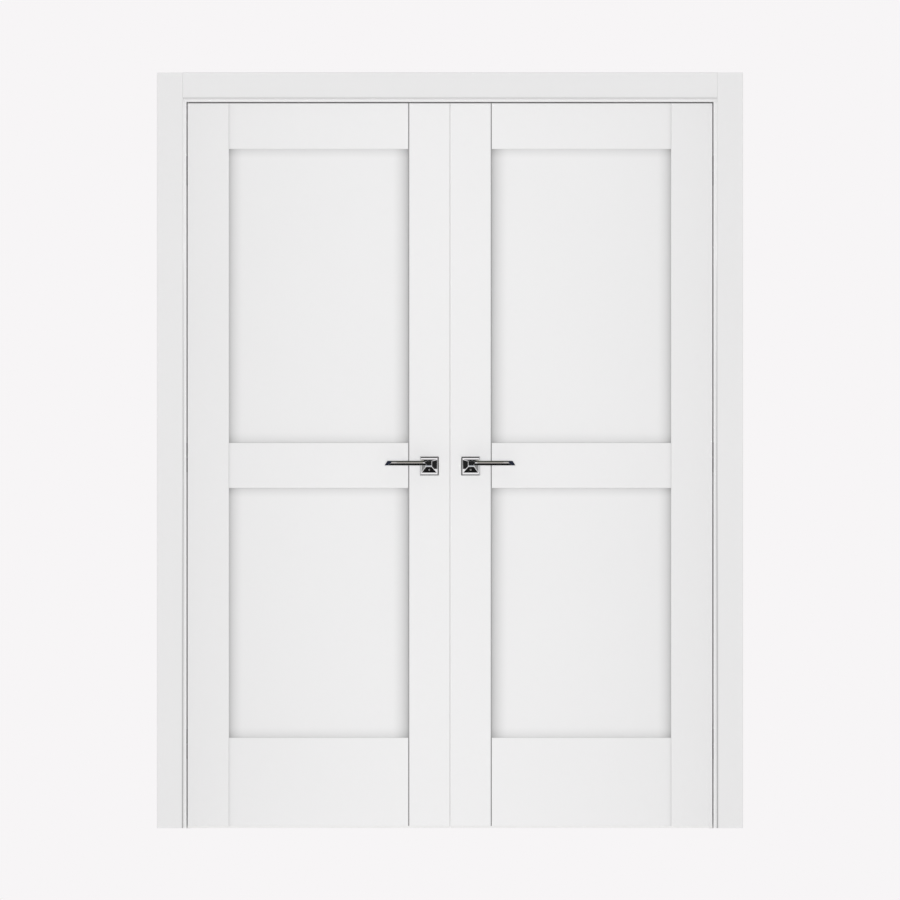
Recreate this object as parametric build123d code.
from build123d import *
import os

# A prehung double door: two stile-and-rail leaves on concealed hinges in a rebated jamb set,
# with flat tongued casings on both sides, lever handles, a latch and flush bolts.
# X runs to the right, Y to the back and Z up, in millimetres. The origin is on the floor,
# midway between the leaves, in the plane of their front faces.
# Everything is drawn on the right-hand side and mirrored to the left.

os.makedirs("parts", exist_ok=True)

# Leaves
leaf_width = 737.0
leaf_height = 2032.0
leaf_thickness = 40.0
hinge_stile_width = 116.5
meeting_stile_width = 116.5
top_rail_height = 128.5
upper_panel_height = 826.0
lock_rail_height = 127.5
bottom_rail_height = 248.0
panel_thickness = 9.0
panel_lap = 10.0
groove_spare = 0.5
wood_fit = 0.2
inner_arris = 2.0
outer_arris = 1.0
meeting_bevel_width = 3.0
meeting_bevel_depth = 4.5
edge_bevel = 1.2

# Gaps round the leaves
floor_gap = 6.5
meeting_gap = 2.0
hinge_gap = 3.0
head_gap = 4.0

# Dowels between rails and stiles
dowel_radius = 4.0
dowel_fit = 0.05
dowel_spare = 1.0
dowel_clear = 4.0
short_rail_shares = (0.3, 0.7)
bottom_rail_shares = (0.2, 0.5, 0.8)

# Jamb set
jamb_depth = 116.0
jamb_thickness = 36.0
stop_height = 12.0
seal_room = 3.0
jamb_arris = 1.0
fixing_radius = 2.75
fixing_inset = 36.0
fixing_end = 160.0
fixing_count = 4
corner_screw_radius = 3.0
corner_screw_length = 90.0
corner_screw_head_radius = 5.5
corner_screw_head_height = 4.0
corner_screw_fit = 0.1
corner_screw_inset = 30.0

# Casings
casing_width = 72.5
casing_thickness = 12.0
casing_arris = 1.5
reveal = 10.5
tongue_thickness = 4.0
tongue_length = 14.0
tongue_outer_wall = 4.0
tongue_fit = 0.2
tongue_spare = 1.0

# Seals
seal_width = 8.0
seal_inset = 2.0
seal_leaf_clear = 0.3
seal_round = 1.2
seal_anchor_width = 3.0
seal_anchor_depth = 5.0
seal_anchor_fit = 0.1
meeting_seal_inset = 5.0
meeting_fin_thickness = 1.5
meeting_fin_clear = 0.4

# Concealed hinges
hinge_top_drop = 190.0
hinge_bottom_rise = 230.0
hinge_plate_height = 120.0
hinge_plate_thickness = 2.5
hinge_plate_lip = 3.0
hinge_plate_round = 6.0
hinge_front_margin = 6.5
hinge_back_margin = 9.0
hinge_pocket_depth = 24.5
hinge_wall = 2.0
hinge_web = 4.0
hinge_chamber = 40.0
hinge_end_wall = 3.0
hinge_fit = 0.2
pivot_inset = 6.5
pivot_share = 0.245
pivot_radius = 2.0
pivot_fit = 0.05
pivot_seat = 1.5
pivot_press_gap = 0.02
knuckle_radius = 4.0
arm_bend_reach = 8.5
arm_bend_share = 0.796
arm_bend_radius = 4.0
arm_end_reach = 21.0
arm_end_share = 0.204
arm_thickness = 5.5
arm_side_gap = 0.5

# Lever handles
handle_backset = 57.25
handle_rise = 6.5
rosette_drop = 8.4
rosette_width = 53.0
rosette_edge = 2.4
rosette_flange = 4.0
rosette_bevel = 2.5
rosette_base_width = 43.4
rosette_base_height = 36.8
rosette_top_width = 16.4
rosette_top_height = 15.8
rosette_top_shift = 1.5
rosette_top_drop = 1.9
rosette_height = 8.2
lever_reach = 126.0
lever_height = 13.0
lever_thickness = 12.0
lever_projection = 50.0
lever_side_depth = 2.6
lever_end_depth = 8.0
lever_tip_slant = 8.4
lever_tip_bevel = 14.0
lever_end_bevel = 19.0
lever_top_bevel = 3.0
lever_bottom_bevel = 6.2
neck_width = 12.0
neck_gap = 0.5
journal_radius = 6.4
journal_fit = 0.08
journal_set = 2.0
spindle_width = 8.0
spindle_fit = 0.1
spindle_in_lever = 20.0
spindle_spare = 1.0
spindle_bore_radius = 9.0

# Latch in the right leaf and its strike in the left leaf
latch_plate_width = 22.0
latch_plate_below = 75.0
latch_plate_above = 100.0
latch_plate_thickness = 2.5
latch_case_width = 16.0
latch_case_below = 45.0
latch_case_above = 75.0
latch_case_back = 15.0
latch_case_wall = 1.5
latch_fit = 0.2
bolt_rise = 38.0
bolt_width = 10.0
bolt_height = 28.0
bolt_head_length = 22.0
bolt_nose_round = 2.0
bolt_tail_width = 5.0
bolt_tail_height = 8.0
bolt_tail_spare = 4.0
bolt_set = 0.3
bolt_fit = 0.3
bolt_travel = 12.0
hub_radius = 11.0
hub_fit = 0.08
hub_side_gap = 0.4
hub_journal_radius = 8.0
hub_lobe_radius = 16.0
hub_lobe_width = 7.0
strike_width = 24.0
strike_height = 130.0
strike_box_wall = 1.2
strike_bolt_clear = 1.5

# Flush bolts in the left leaf and the keeper above the top one
flush_plate_width = 19.0
flush_plate_height = 180.0
flush_plate_thickness = 2.5
flush_case_width = 15.0
flush_case_height = 165.0
flush_case_depth = 20.0
flush_bolt_radius = 4.5
flush_bolt_fit = 0.08
flush_bolt_length = 140.0
flush_bolt_inset = 11.0
flush_bolt_set = 1.0
flush_bolt_chamfer = 1.0
flush_bolt_travel = 15.0
flush_bolt_spare = 1.0
thumb_width = 8.0
thumb_height = 20.0
thumb_drop = 70.0
thumb_set = 0.3
thumb_clear = 0.4
keeper_width = 24.0
keeper_length = 50.0
keeper_thickness = 2.5
keeper_clear = 1.5
keeper_round = 3.0

# How far a cut runs past the face it opens
overrun = 5.0

# Stations across the right-hand half
meeting_x = meeting_gap / 2
meeting_back_x = meeting_x + edge_bevel
hardware_x = (meeting_x + meeting_back_x) / 2
meeting_inner_x = meeting_x + meeting_stile_width
hinge_edge_x = meeting_x + leaf_width
hinge_inner_x = hinge_edge_x - hinge_stile_width
swing_x = hinge_edge_x + hinge_gap / 2
jamb_face_x = hinge_edge_x + hinge_gap
jamb_outer_x = jamb_face_x + jamb_thickness
stop_face_x = jamb_face_x - stop_height
casing_inner_x = jamb_face_x + reveal
casing_outer_x = casing_inner_x + casing_width
tongue_x = jamb_outer_x - tongue_outer_wall - tongue_thickness
handle_x = meeting_x + handle_backset

# Stations through the depth
mid_y = leaf_thickness / 2
rebate_y = leaf_thickness + seal_room
groove_half = panel_thickness / 2 + wood_fit
groove_depth = panel_lap + groove_spare

# Stations up the height
leaf_bottom_z = floor_gap
leaf_top_z = floor_gap + leaf_height
top_rail_z = leaf_top_z - top_rail_height
lock_rail_top_z = top_rail_z - upper_panel_height
lock_rail_z = lock_rail_top_z - lock_rail_height
bottom_rail_top_z = leaf_bottom_z + bottom_rail_height
head_face_z = leaf_top_z + head_gap
head_stop_z = head_face_z - stop_height
head_outer_z = head_face_z + jamb_thickness
head_casing_z = head_face_z + reveal
casing_top_z = head_casing_z + casing_width
head_tongue_z = head_outer_z - tongue_outer_wall - tongue_thickness
handle_z = (lock_rail_z + lock_rail_top_z) / 2 + handle_rise
hinge_top_z = leaf_top_z - hinge_top_drop
hinge_bottom_z = leaf_bottom_z + hinge_bottom_rise
hinge_zs = (hinge_bottom_z, (hinge_bottom_z + hinge_top_z) / 2, hinge_top_z)

middle_plane = Plane.YZ
leaf_mid_plane = Plane(origin=(0, mid_y, 0), z_dir=(0, 1, 0))
jamb_mid_plane = Plane(origin=(0, jamb_depth / 2, 0), z_dir=(0, 1, 0))
leaf_half_plane = Plane(origin=(0, 0, (leaf_bottom_z + leaf_top_z) / 2), z_dir=(0, 0, 1))


def block(x, y, z):
    """A box between the two stations given on each axis."""
    size = (x[1] - x[0], y[1] - y[0], z[1] - z[0])
    return Pos(x[0], y[0], z[0]) * Box(*size, align=(Align.MIN, Align.MIN, Align.MIN))


def outline(*points):
    """A flat face inside the polygon through these points."""
    return make_face(Polyline(*points, close=True))


def rounded(face, corners, radius):
    """The same flat face with those corners rounded."""
    return fillet([face.vertices().sort_by_distance(corner)[0] for corner in corners], radius)


def upright(face, low, high):
    """An (x, y) section drawn up from low to high."""
    return Pos(Z=low) * extrude(face, amount=high - low, dir=(0, 0, 1))


def across(face, low, high):
    """A (y, z) section drawn along X from low to high."""
    return Pos(X=low) * extrude(Plane.YZ * face, amount=high - low, dir=(1, 0, 0))


def outward(face, low, high):
    """An (x, z) face drawn out in front of the leaf, between two distances from its front face."""
    return extrude(Plane.XZ.offset(low) * face, amount=high - low)


def tapered(low_face, low, high_face, high):
    """Straight-sided body between two (x, z) faces at two distances in front of the leaf."""
    return loft([Plane.XZ.offset(low) * low_face, Plane.XZ.offset(high) * high_face], ruled=True)


def rod(radius, x, y, z):
    """An upright cylinder between two heights."""
    return upright(Pos(x, y) * Circle(radius), z[0], z[1])


def mirrored(solid, plane=middle_plane):
    """The same solid on the other side of a plane."""
    return mirror(solid, about=plane)


def save(name, *solids):
    """Write one node, as a group when it has several solids."""
    shape = solids[0] if len(solids) == 1 else Compound(children=[*solids])
    export_step(shape, f"parts/{name}.step")


def save_pair(name, *solids):
    """Write a right-hand node and its mirror image on the left."""
    save(f"right_{name}", *solids)
    save(f"left_{name}", *[mirrored(solid) for solid in solids])


# Jamb set

def tongue_groove():
    """Groove for the casing's tongue, in the front edge of the right jamb."""
    x = (tongue_x - tongue_fit, tongue_x + tongue_thickness + tongue_fit)
    return block(x, (-overrun, tongue_length + tongue_spare), (-overrun, head_outer_z + overrun))


def head_tongue_groove():
    """The same groove in the front edge of the head jamb."""
    low = head_tongue_z - tongue_fit
    high = head_tongue_z + tongue_thickness + tongue_fit
    ends = (-jamb_outer_x - overrun, jamb_outer_x + overrun)
    return block(ends, (-overrun, tongue_length + tongue_spare), (low, high))


def jamb_section(face, stop, outer):
    """Rebated section of a jamb across its face, with the edges that show eased."""
    corners = [(face, 0), (stop, rebate_y), (stop, jamb_depth)]
    return corners, [(outer, 0), (outer, jamb_depth), corners[2], corners[1], (face, rebate_y), corners[0]]


def corner_screw(x, y, fit=0):
    """Countersunk screw through the head jamb into the end of a side jamb."""
    shank = corner_screw_radius + fit
    head = corner_screw_head_radius + fit
    neck = head_outer_z - corner_screw_head_height
    cone = Cone(shank, head, corner_screw_head_height, align=(Align.CENTER, Align.CENTER, Align.MIN))
    bottom = head_outer_z - corner_screw_length - fit
    return rod(shank, x, y, (bottom, neck)) + Pos(x, y, neck) * cone


def corner_screw_places():
    """Screw centres at the right corner of the jamb set."""
    x = (jamb_face_x + jamb_outer_x) / 2
    return [(x, corner_screw_inset), (x, jamb_depth - corner_screw_inset)]


def fixing_holes():
    """Holes through the stop of the right jamb for the wall screws."""
    span = head_stop_z - 2 * fixing_end
    place = Pos(stop_face_x - overrun, jamb_depth - fixing_inset, 0)
    length = jamb_thickness + stop_height + 2 * overrun
    hole = Rot(0, 90, 0) * Cylinder(fixing_radius, length, align=(Align.CENTER, Align.CENTER, Align.MIN))
    heights = [fixing_end + span * i / (fixing_count - 1) for i in range(fixing_count)]
    return [Pos(Z=height) * place * hole for height in heights]


def seal_kerf():
    """Narrow groove for the seal's anchor, in the stop of the right jamb."""
    x = stop_face_x + seal_inset + seal_width / 2
    half = seal_anchor_width / 2 + seal_anchor_fit
    depth = rebate_y + seal_anchor_depth + seal_anchor_fit
    return block((x - half, x + half), (rebate_y - overrun, depth), (-overrun, head_outer_z))


def head_seal_kerf():
    """The same groove in the stop of the head jamb."""
    z = head_stop_z + seal_inset + seal_width / 2
    half = seal_anchor_width / 2 + seal_anchor_fit
    depth = rebate_y + seal_anchor_depth + seal_anchor_fit
    return block((-jamb_face_x, jamb_face_x), (rebate_y - overrun, depth), (z - half, z + half))


def side_jamb():
    """Right jamb, notched at the top for the head jamb's stop."""
    corners, points = jamb_section(jamb_face_x, stop_face_x, jamb_outer_x)
    jamb = upright(rounded(outline(*points), corners, jamb_arris), 0, head_face_z)
    x = (stop_face_x - overrun, jamb_outer_x + overrun)
    jamb -= block(x, (rebate_y, jamb_depth + overrun), (head_stop_z, head_face_z + overrun))
    jamb -= [tongue_groove(), mirrored(tongue_groove(), jamb_mid_plane), seal_kerf()]
    jamb -= fixing_holes()
    jamb -= [corner_screw(*place, fit=corner_screw_fit) for place in corner_screw_places()]
    return jamb - [at_frame(hinge_recess(), z) for z in hinge_zs]


def head_jamb():
    """Head jamb, lying on both side jambs, with the keeper's recess on the left."""
    corners, points = jamb_section(head_face_z, head_stop_z, head_outer_z)
    swapped = [(y, z) for z, y in points]
    section = rounded(outline(*swapped), [(y, z) for z, y in corners], jamb_arris)
    jamb = across(section, -jamb_outer_x, jamb_outer_x)
    jamb -= [head_tongue_groove(), mirrored(head_tongue_groove(), jamb_mid_plane), head_seal_kerf()]
    screws = [corner_screw(*place, fit=corner_screw_fit) for place in corner_screw_places()]
    jamb -= screws + [mirrored(screw) for screw in screws]
    return jamb - mirrored(keeper_recess())


def side_seal():
    """Bulb seal on the stop of the right jamb."""
    low_x = stop_face_x + seal_inset
    high_x = low_x + seal_width
    front = leaf_thickness + seal_leaf_clear
    corners = [(low_x, front), (high_x, front)]
    bulb = outline(corners[0], corners[1], (high_x, rebate_y), (low_x, rebate_y))
    mid = (low_x + high_x) / 2
    half = seal_anchor_width / 2
    top = head_stop_z + seal_inset
    anchor = block((mid - half, mid + half), (rebate_y, rebate_y + seal_anchor_depth), (0, head_stop_z))
    return upright(rounded(bulb, corners, seal_round), 0, top) + anchor


def head_seal():
    """The same seal on the stop of the head jamb, over the ends of the side seals."""
    low_z = head_stop_z + seal_inset
    high_z = low_z + seal_width
    front = leaf_thickness + seal_leaf_clear
    corners = [(front, low_z), (front, high_z)]
    bulb = outline(corners[0], corners[1], (rebate_y, high_z), (rebate_y, low_z))
    end = stop_face_x + seal_inset + seal_width
    mid = (low_z + high_z) / 2
    half = seal_anchor_width / 2
    anchor = block((-end, end), (rebate_y, rebate_y + seal_anchor_depth), (mid - half, mid + half))
    return across(rounded(bulb, corners, seal_round), -end, end) + anchor


# Casings

def side_casing(head_z):
    """Right front casing: a flat board with a tongue for the jamb's groove, up to the head jamb."""
    corners = [(casing_inner_x, -casing_thickness), (casing_outer_x, -casing_thickness)]
    board = outline(corners[0], corners[1], (casing_outer_x, 0), (casing_inner_x, 0))
    x = (tongue_x, tongue_x + tongue_thickness)
    tongue = block(x, (0, tongue_length), (0, head_z - tongue_spare))
    return upright(rounded(board, corners, casing_arris), 0, casing_top_z) + tongue


def head_casing():
    """Head front casing, between the side casings."""
    corners = [(-casing_thickness, head_casing_z), (-casing_thickness, casing_top_z)]
    board = outline(corners[0], corners[1], (0, casing_top_z), (0, head_casing_z))
    ends = (-casing_inner_x, casing_inner_x)
    tongue_z = (head_tongue_z, head_tongue_z + tongue_thickness)
    tongue = block(ends, (0, tongue_length), tongue_z)
    return across(rounded(board, corners, casing_arris), *ends) + tongue


# Concealed hinges, drawn about the swing axis with the jamb towards +X

pocket_y = (hinge_front_margin, leaf_thickness - hinge_back_margin)
pocket_width = pocket_y[1] - pocket_y[0]
pocket_mid_y = (pocket_y[0] + pocket_y[1]) / 2
mouth_x = hinge_gap / 2
cup_half_height = hinge_web / 2 + hinge_chamber + hinge_end_wall
chamber_z = (hinge_web / 2, hinge_web / 2 + hinge_chamber)


def at_frame(solid, z):
    """A hinge piece placed in the right jamb at one hinge height."""
    return Pos(swing_x, 0, z) * solid


def at_leaf(solid, z):
    """A hinge piece turned over into the right leaf's edge at one hinge height."""
    return Pos(swing_x, 0, z) * Rot(0, 180, 0) * solid


def cup_layer(width, height, depth, fit):
    """Rounded plate or body of a cup, from its mouth inwards."""
    face = RectangleRounded(width + 2 * fit, height + 2 * fit, hinge_plate_round + fit)
    return across(Pos(pocket_mid_y, 0) * face, mouth_x, mouth_x + depth + fit)


def cup_solid(fit):
    """Faceplate and body of a cup without its chambers."""
    width = pocket_width + 2 * hinge_wall
    body = cup_layer(width, 2 * cup_half_height, hinge_pocket_depth + hinge_wall, fit)
    plate_width = width + hinge_plate_lip
    return body + cup_layer(plate_width, hinge_plate_height, hinge_plate_thickness, fit)


def hinge_recess():
    """Mortise that takes a cup, open at the edge of the wood."""
    lip = pocket_width + 2 * hinge_wall + hinge_plate_lip + 2 * hinge_fit
    half = hinge_plate_height / 2 + hinge_fit
    mouth = RectangleRounded(lip, 2 * half, hinge_plate_round + hinge_fit)
    return cup_solid(hinge_fit) + across(Pos(pocket_mid_y, 0) * mouth, 0, mouth_x + hinge_fit)


def pocket_share_y(share):
    """A place across the pocket."""
    return pocket_y[0] + pocket_width * share


def pivot_pin(fit=0):
    """Pin of the arm that turns in this cup, held by the web and the end wall."""
    z = (chamber_z[0] - pivot_seat - fit, chamber_z[1] + pivot_seat + fit)
    return rod(pivot_radius + fit, pivot_inset, pocket_share_y(pivot_share), z)


def hinge_cup():
    """Cup with two chambers: one holds a pivot, the other takes the free end of the other arm."""
    x = (mouth_x - overrun, mouth_x + hinge_pocket_depth)
    upper = block(x, pocket_y, chamber_z)
    lower = block(x, pocket_y, (-chamber_z[1], -chamber_z[0]))
    return cup_solid(0) - upper - lower - pivot_pin(pivot_press_gap)


def hinge_arm():
    """Bent arm from its pivot in one cup to its free end in the other."""
    pivot = (pivot_inset, pocket_share_y(pivot_share))
    bend = (-arm_bend_reach, pocket_share_y(arm_bend_share))
    end = (-arm_end_reach, pocket_share_y(arm_end_share))
    path = FilletPolyline(pivot, bend, end, radius=arm_bend_radius)
    section = trace(path, arm_thickness) + Pos(*pivot) * Circle(knuckle_radius)
    section += Pos(*end) * Circle(arm_thickness / 2)
    section -= Pos(*pivot) * Circle(pivot_radius + pivot_fit)
    return upright(section, chamber_z[0] + arm_side_gap, chamber_z[1] - arm_side_gap)


# Leaves

dowel_embed = meeting_stile_width - handle_backset - latch_case_back - dowel_clear


def dowel_rows():
    """Heights of the dowels in the top, lock and bottom rails."""
    rails = [(top_rail_z, leaf_top_z, short_rail_shares),
             (lock_rail_z, lock_rail_top_z, short_rail_shares),
             (leaf_bottom_z, bottom_rail_top_z, bottom_rail_shares)]
    return [low + (high - low) * share for low, high, shares in rails for share in shares]


def dowel(x, z, fit=0, spare=0):
    """One dowel across the joint at x."""
    half = dowel_embed + spare
    return across(Pos(mid_y, z) * Circle(dowel_radius + fit), x - half, x + half)


def dowels(fit=0, spare=0):
    """All dowels of the right leaf."""
    joints = (meeting_inner_x, hinge_inner_x)
    return [dowel(x, z, fit, spare) for x in joints for z in dowel_rows()]


def stile_face(outer, inner_x, groove_x):
    """Section of a stile with rounded outer edges and the panel groove along its inner edge."""
    low = mid_y - groove_half
    high = mid_y + groove_half
    groove = [(inner_x, low), (groove_x, low), (groove_x, high), (inner_x, high)]
    face = outline(outer[0], (inner_x, 0), *groove, (inner_x, leaf_thickness), outer[1])
    return rounded(face, outer, outer_arris)


def stile(face):
    """A stile over the whole height of the leaf, bored for the dowels."""
    return upright(face, leaf_bottom_z, leaf_top_z) - dowels(dowel_fit, dowel_spare)


def hinge_stile():
    """Right hinge stile with the mortises of its three hinges."""
    outer = [(hinge_edge_x, 0), (hinge_edge_x, leaf_thickness)]
    face = stile_face(outer, hinge_inner_x, hinge_inner_x + groove_depth)
    inner = [(hinge_inner_x, 0), (hinge_inner_x, leaf_thickness)]
    wood = stile(rounded(face, inner, inner_arris))
    return wood - [at_leaf(hinge_recess(), z) for z in hinge_zs]


def inner_bevel(y, inward):
    """Corner of the meeting stile's section that its inner bevel takes off, at one face."""
    return outline((meeting_inner_x - meeting_bevel_width, y), (meeting_inner_x, y),
                   (meeting_inner_x, y + inward * meeting_bevel_depth))


def spindle_bore():
    """Hole across the stile for the handle's spindle."""
    circle = Pos(handle_x, handle_z) * Circle(spindle_bore_radius)
    return outward(circle, -leaf_thickness - overrun, overrun)


def meeting_stile():
    """Meeting stile with its bevelled edge and the bore for the spindle, before its mortises."""
    outer = [(meeting_x, 0), (meeting_back_x, leaf_thickness)]
    face = stile_face(outer, meeting_inner_x, meeting_inner_x - groove_depth)
    face -= inner_bevel(0, 1) + inner_bevel(leaf_thickness, -1)
    return stile(face) - spindle_bore()


def rail(low, high, groove_below, groove_above):
    """A rail with a panel groove below, above or both, and end tongues for the stiles' grooves."""
    face = outline((0, low), (leaf_thickness, low), (leaf_thickness, high), (0, high))
    edges = ([low] if groove_below else []) + ([high] if groove_above else [])
    face = rounded(face, [(y, z) for z in edges for y in (0, leaf_thickness)], inner_arris)
    tongue_low = low + groove_depth if groove_below else low
    tongue_high = high - groove_depth if groove_above else high
    board = across(face, meeting_inner_x, hinge_inner_x)
    x = (meeting_inner_x - panel_lap, hinge_inner_x + panel_lap)
    y = (mid_y - groove_half, mid_y + groove_half)
    if groove_below:
        board -= block(x, y, (low - overrun, tongue_low))
    if groove_above:
        board -= block(x, y, (tongue_high, high + overrun))
    board += block(x, (y[0] + wood_fit, y[1] - wood_fit), (tongue_low, tongue_high))
    return board - dowels(dowel_fit, dowel_spare)


def panel(low, high):
    """A flat panel held in the grooves all round."""
    x = (meeting_inner_x - panel_lap, hinge_inner_x + panel_lap)
    y = (mid_y - panel_thickness / 2, mid_y + panel_thickness / 2)
    return block(x, y, (low - panel_lap, high + panel_lap))


# Lever handles, drawn about the spindle axis at the front face of the leaf

def square(width):
    """A square face on the spindle axis."""
    return Rectangle(width, width)


def at_handle(solid):
    """A handle piece placed on the front of the right leaf."""
    return Pos(handle_x, 0, handle_z) * solid


def at_back(solid):
    """The same piece on the back of the leaf."""
    return mirrored(at_handle(solid), leaf_mid_plane)


def dropped(face, drop, shift=0):
    """A flat face moved down from the spindle axis, and outward along the leaf."""
    return Pos(shift, -drop) * face


def rosette():
    """Square rosette set low: a bevelled flange under a leaning pyramid, bored for the lever's journal."""
    foot = dropped(square(rosette_width), rosette_drop)
    face = dropped(square(rosette_width - 2 * rosette_bevel), rosette_drop)
    base = dropped(Rectangle(rosette_base_width, rosette_base_height), rosette_drop)
    top = dropped(Rectangle(rosette_top_width, rosette_top_height), rosette_top_drop, rosette_top_shift)
    shape = outward(foot, 0, rosette_edge) + tapered(foot, rosette_edge, face, rosette_flange)
    shape += tapered(base, rosette_flange, top, rosette_height)
    return shape - outward(Circle(journal_radius + journal_fit), -overrun, rosette_height + overrun)


def lever_face(low, high, start, tip):
    """A long face of the lever between two heights, with its tip slanted to reach further below."""
    slope = lever_tip_slant / lever_height
    foot = tip - slope * (low + lever_height / 2)
    head = tip - slope * (high + lever_height / 2)
    return outline((start, low), (foot, low), (head, high), (start, high))


def lever_blade():
    """Blade of the lever: narrow bevels along its front strip, long ones at its root and tip."""
    half = lever_height / 2
    tall = half + overrun
    back = lever_projection - lever_thickness
    side = lever_projection - lever_side_depth
    end = lever_projection - lever_end_depth
    full = lever_face(-half, half, -half, lever_reach)
    strip = lever_face(lever_bottom_bevel - half, half - lever_top_bevel, -half, lever_reach)
    bar = outward(full, back, side) + tapered(full, side, strip, lever_projection)
    wide = lever_face(-tall, tall, -half, lever_reach)
    short = lever_face(-tall, tall, lever_end_bevel - half, lever_reach - lever_tip_bevel)
    return bar & (outward(wide, back, end) + tapered(wide, end, short, lever_projection))


def lever():
    """Straight faceted lever with its square neck, journal and spindle socket."""
    back = lever_projection - lever_thickness
    neck = rosette_height + neck_gap
    shape = lever_blade() + outward(square(neck_width), neck, back)
    shape += outward(Circle(journal_radius), journal_set, neck)
    socket = spindle_in_lever + spindle_spare
    return shape - outward(square(spindle_width + 2 * spindle_fit), 0, socket)


def spindle():
    """Square bar through the leaf, into both levers."""
    return outward(square(spindle_width), -leaf_thickness - spindle_in_lever, spindle_in_lever)


# Latch, drawn in the meeting edge of the right leaf

bolt_z = handle_z + bolt_rise
case_front_x = hardware_x + latch_plate_thickness
case_back_x = handle_x + latch_case_back
cavity_half = latch_case_width / 2 - latch_case_wall


def around(centre, half):
    """A pair of stations either side of a centre."""
    return (centre - half, centre + half)


def latch_shell(fit=0):
    """Faceplate and closed case of the latch."""
    plate_z = (handle_z - latch_plate_below - fit, handle_z + latch_plate_above + fit)
    plate = block((hardware_x, case_front_x + fit), around(mid_y, latch_plate_width / 2 + fit), plate_z)
    case_z = (handle_z - latch_case_below - fit, handle_z + latch_case_above + fit)
    return plate + block((hardware_x, case_back_x + fit), around(mid_y, latch_case_width / 2 + fit), case_z)


def hub_journal(radius, length):
    """A round about the spindle axis, centred in the leaf's thickness."""
    return at_handle(outward(Circle(radius), -mid_y - length / 2, length / 2 - mid_y))


def latch_case():
    """Latch case, hollow for the bolt and the hub, with a rib that guides the bolt's tail."""
    wall = latch_case_wall
    z = (handle_z - latch_case_below + wall, handle_z + latch_case_above - wall)
    cavity = block((case_front_x, case_back_x - wall), around(mid_y, cavity_half), z)
    mouth_z = around(bolt_z, bolt_height / 2 + bolt_fit)
    mouth = block((hardware_x - overrun, case_front_x), around(mid_y, bolt_width / 2 + bolt_fit), mouth_z)
    rib_x = around(handle_x, wall)
    rib = block(rib_x, around(mid_y, cavity_half), around(bolt_z, bolt_tail_height))
    guide_z = around(bolt_z, bolt_tail_height / 2 + bolt_fit)
    rib -= block(rib_x, around(mid_y, bolt_tail_width / 2 + bolt_fit), guide_z)
    shell = latch_shell() - cavity - mouth
    return shell - hub_journal(hub_journal_radius + hub_fit, latch_plate_width) + rib


def latch_bolt():
    """Sliding bolt with a rounded nose and a tail, drawn in."""
    nose_x = hardware_x + bolt_set
    tail_x = nose_x + bolt_head_length
    y = around(mid_y, bolt_width / 2)
    corners = [(nose_x, y[0]), (nose_x, y[1])]
    head = rounded(outline(*corners, (tail_x, y[1]), (tail_x, y[0])), corners, bolt_nose_round)
    z = around(bolt_z, bolt_height / 2)
    tail_end = case_back_x - latch_case_wall - bolt_tail_spare
    tail = block((tail_x, tail_end), around(mid_y, bolt_tail_width / 2), around(bolt_z, bolt_tail_height / 2))
    return upright(head, *z) + tail


def latch_hub():
    """Hub that the spindle turns, with a lobe that draws the bolt in."""
    body = hub_journal(hub_radius, 2 * (cavity_half - hub_side_gap))
    body += hub_journal(hub_journal_radius, latch_case_width)
    lobe_y = around(mid_y, cavity_half - hub_side_gap)
    body += block(around(handle_x, hub_lobe_width / 2), lobe_y, (handle_z, handle_z + hub_lobe_radius))
    hole = square(spindle_width + 2 * spindle_fit)
    return body - at_handle(outward(hole, -leaf_thickness, 0))


def strike_shell(fit=0):
    """Strike plate with the box behind its opening, filled in."""
    half_z = bolt_height / 2 + strike_bolt_clear + strike_box_wall + fit
    half_y = bolt_width / 2 + strike_bolt_clear + strike_box_wall + fit
    back_x = hardware_x + bolt_travel + strike_bolt_clear + strike_box_wall + fit
    plate_x = (hardware_x, hardware_x + latch_plate_thickness + fit)
    plate = block(plate_x, around(mid_y, strike_width / 2 + fit), around(bolt_z, strike_height / 2 + fit))
    return plate + block((hardware_x, back_x), around(mid_y, half_y), around(bolt_z, half_z))


def strike_plate():
    """Strike plate with an open box for the bolt."""
    x = (hardware_x - overrun, hardware_x + bolt_travel + strike_bolt_clear)
    y = around(mid_y, bolt_width / 2 + strike_bolt_clear)
    return strike_shell() - block(x, y, around(bolt_z, bolt_height / 2 + strike_bolt_clear))


def edge_mouth(solid_y, solid_z):
    """The sliver of wood outside a faceplate in the bevelled edge."""
    return block((meeting_x - overrun, hardware_x), solid_y, solid_z)


# Flush bolts, drawn at the top of the meeting edge

bolt_axis_x = hardware_x + flush_bolt_inset
flush_top_z = leaf_top_z - flush_bolt_set
thumb_z = (leaf_top_z - thumb_drop - thumb_height, leaf_top_z - thumb_drop)


def flush_shell(fit=0):
    """Faceplate and body of a flush bolt's case."""
    plate_z = (leaf_top_z - flush_plate_height - fit, leaf_top_z)
    plate_x = (hardware_x, hardware_x + flush_plate_thickness + fit)
    plate = block(plate_x, around(mid_y, flush_plate_width / 2 + fit), plate_z)
    body_z = (leaf_top_z - flush_case_height - fit, leaf_top_z)
    body_x = (hardware_x, hardware_x + flush_case_depth + fit)
    return plate + block(body_x, around(mid_y, flush_case_width / 2 + fit), body_z)


def flush_bolt_case():
    """Case bored for the bolt, with a slot for its thumb piece."""
    channel_z = (flush_top_z - flush_bolt_length - flush_bolt_spare, leaf_top_z + overrun)
    channel = rod(flush_bolt_radius + flush_bolt_fit, bolt_axis_x, mid_y, channel_z)
    slot_z = (thumb_z[0] - thumb_clear, thumb_z[1] + flush_bolt_travel + thumb_clear)
    slot = block((hardware_x - overrun, bolt_axis_x), around(mid_y, thumb_width / 2 + thumb_clear), slot_z)
    return flush_shell() - channel - slot


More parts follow.
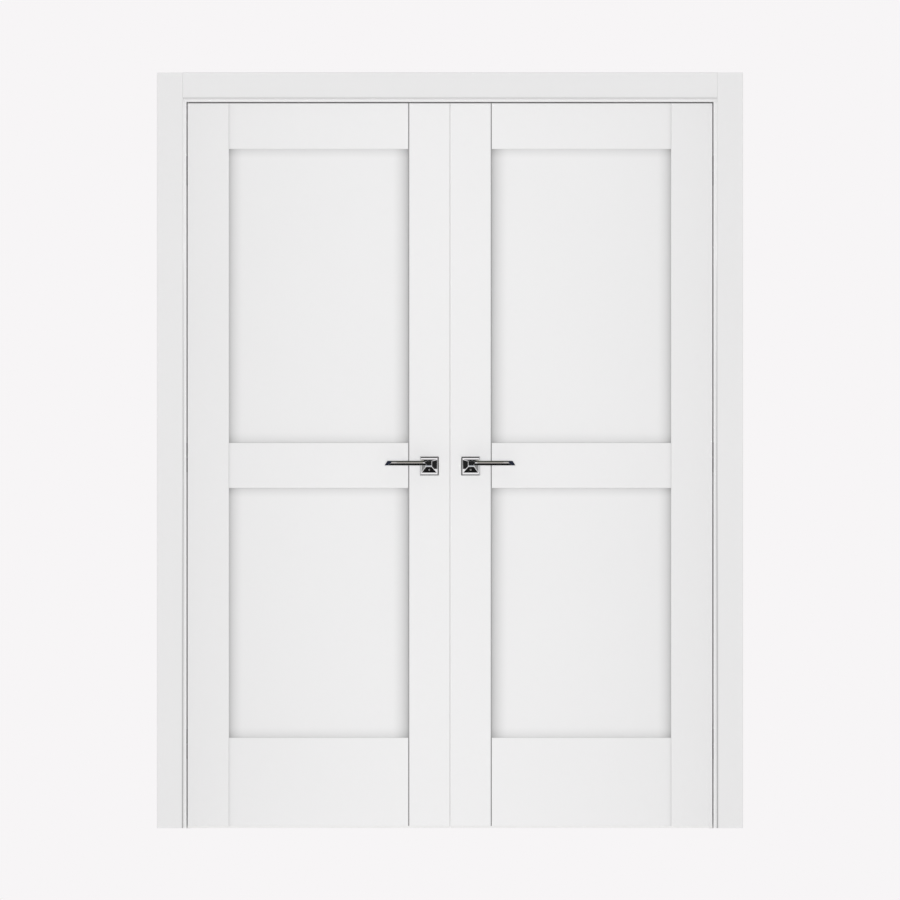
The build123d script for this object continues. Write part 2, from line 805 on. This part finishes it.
def flush_bolt():
    """Bolt with its thumb piece, drawn back into the leaf."""
    bolt = rod(flush_bolt_radius, bolt_axis_x, mid_y, (flush_top_z - flush_bolt_length, flush_top_z))
    bolt = chamfer(bolt.edges().group_by(Axis.Z)[-1], flush_bolt_chamfer)
    return bolt + block((hardware_x + thumb_set, bolt_axis_x), around(mid_y, thumb_width / 2), thumb_z)


def lower(solid):
    """A top flush bolt's piece turned over to the bottom of the leaf."""
    return mirrored(solid, leaf_half_plane)


def keeper_face(fit=0):
    """Outline of the keeper plate seen from below."""
    face = RectangleRounded(keeper_length + 2 * fit, keeper_width + 2 * fit, keeper_round + fit)
    return Pos(bolt_axis_x, mid_y) * face


def keeper():
    """Keeper plate for the top flush bolt, let into the head jamb."""
    plate = upright(keeper_face(), head_face_z, head_face_z + keeper_thickness)
    hole = (head_face_z - overrun, head_outer_z)
    return plate - rod(flush_bolt_radius + keeper_clear, bolt_axis_x, mid_y, hole)


def keeper_recess():
    """Recess for the keeper and the bore above it."""
    recess = upright(keeper_face(wood_fit), head_face_z - overrun, head_face_z + keeper_thickness)
    depth = flush_top_z + flush_bolt_travel + keeper_clear
    return recess + rod(flush_bolt_radius + keeper_clear, bolt_axis_x, mid_y, (head_face_z, depth))


def meeting_seal(fit=0):
    """Seal in the meeting edge, with a fin that closes the gap to the other leaf."""
    tip_x = meeting_fin_clear - meeting_x
    back_x = meeting_back_x + seal_anchor_depth
    z = (leaf_bottom_z, leaf_top_z)
    fin = block((tip_x, back_x), around(meeting_seal_inset, meeting_fin_thickness / 2 + fit), z)
    anchor_y = around(meeting_seal_inset, seal_anchor_width / 2 + fit)
    return fin + block((meeting_back_x, back_x + fit), anchor_y, z)


def latch_stile():
    """Right meeting stile with the latch's mortise."""
    plate_y = around(mid_y, latch_plate_width / 2 + latch_fit)
    plate_z = (handle_z - latch_plate_below - latch_fit, handle_z + latch_plate_above + latch_fit)
    return meeting_stile() - latch_shell(latch_fit) - edge_mouth(plate_y, plate_z)


def strike_stile():
    """Left meeting stile, drawn on the right: mortises for the strike and flush bolts, kerf for the seal."""
    wood = meeting_stile() - strike_shell(latch_fit) - meeting_seal(seal_anchor_fit)
    strike_y = around(mid_y, strike_width / 2 + latch_fit)
    wood -= edge_mouth(strike_y, around(bolt_z, strike_height / 2 + latch_fit))
    flush_y = around(mid_y, flush_plate_width / 2 + latch_fit)
    mouth = edge_mouth(flush_y, (leaf_top_z - flush_plate_height - latch_fit, leaf_top_z))
    for cut in (flush_shell(latch_fit), mouth):
        wood = wood - cut - lower(cut)
    return wood


# Frame
save_pair("jamb", side_jamb())
save("head_jamb", head_jamb())
save_pair("front_casing", side_casing(head_face_z))
save("head_front_casing", head_casing())
save_pair("back_casing", mirrored(side_casing(head_stop_z), jamb_mid_plane))
save("head_back_casing", mirrored(head_casing(), jamb_mid_plane))
save_pair("jamb_seal", side_seal())
save("head_seal", head_seal())
right_screws = [corner_screw(*place) for place in corner_screw_places()]
save("jamb_corner_screws", *right_screws, *[mirrored(screw) for screw in right_screws])
save("head_bolt_keeper", mirrored(keeper()))

# Hinges
frame_pins = [at_frame(pivot_pin(), z) for z in hinge_zs]
save("hinge_frame_pins", *frame_pins, *[mirrored(pin) for pin in frame_pins])
save_pair("hinge_frame_cups", *[at_frame(hinge_cup(), z) for z in hinge_zs])
save_pair("hinge_frame_arms", *[at_frame(hinge_arm(), z) for z in hinge_zs])
save_pair("hinge_leaf_arms", *[at_leaf(hinge_arm(), z) for z in hinge_zs])
save_pair("hinge_leaf_cups", *[at_leaf(hinge_cup(), z) for z in hinge_zs])
save_pair("hinge_leaf_pins", *[at_leaf(pivot_pin(), z) for z in hinge_zs])

# Leaves
save_pair("hinge_stile", hinge_stile())
save("right_meeting_stile", latch_stile())
save("left_meeting_stile", mirrored(strike_stile()))
save_pair("top_rail", rail(top_rail_z, leaf_top_z, True, False))
save_pair("lock_rail", rail(lock_rail_z, lock_rail_top_z, True, True))
save_pair("bottom_rail", rail(leaf_bottom_z, bottom_rail_top_z, False, True))
save_pair("upper_panel", panel(lock_rail_top_z, top_rail_z))
save_pair("lower_panel", panel(bottom_rail_top_z, lock_rail_z))
save_pair("dowels", *dowels())

# Handles
save_pair("front_rosette", at_handle(rosette()))
save_pair("back_rosette", at_back(rosette()))
save_pair("front_lever", at_handle(lever()))
save_pair("back_lever", at_back(lever()))
save_pair("spindle", at_handle(spindle()))

# Latch, strike, flush bolts and meeting seal
save("latch_case", latch_case())
save("latch_bolt", latch_bolt())
save("latch_hub", latch_hub())
save("strike_plate", mirrored(strike_plate()))
save("flush_bolt_cases", mirrored(flush_bolt_case()), mirrored(lower(flush_bolt_case())))
save("top_flush_bolt", mirrored(flush_bolt()))
save("bottom_flush_bolt", mirrored(lower(flush_bolt())))
save("meeting_seal", mirrored(meeting_seal()))
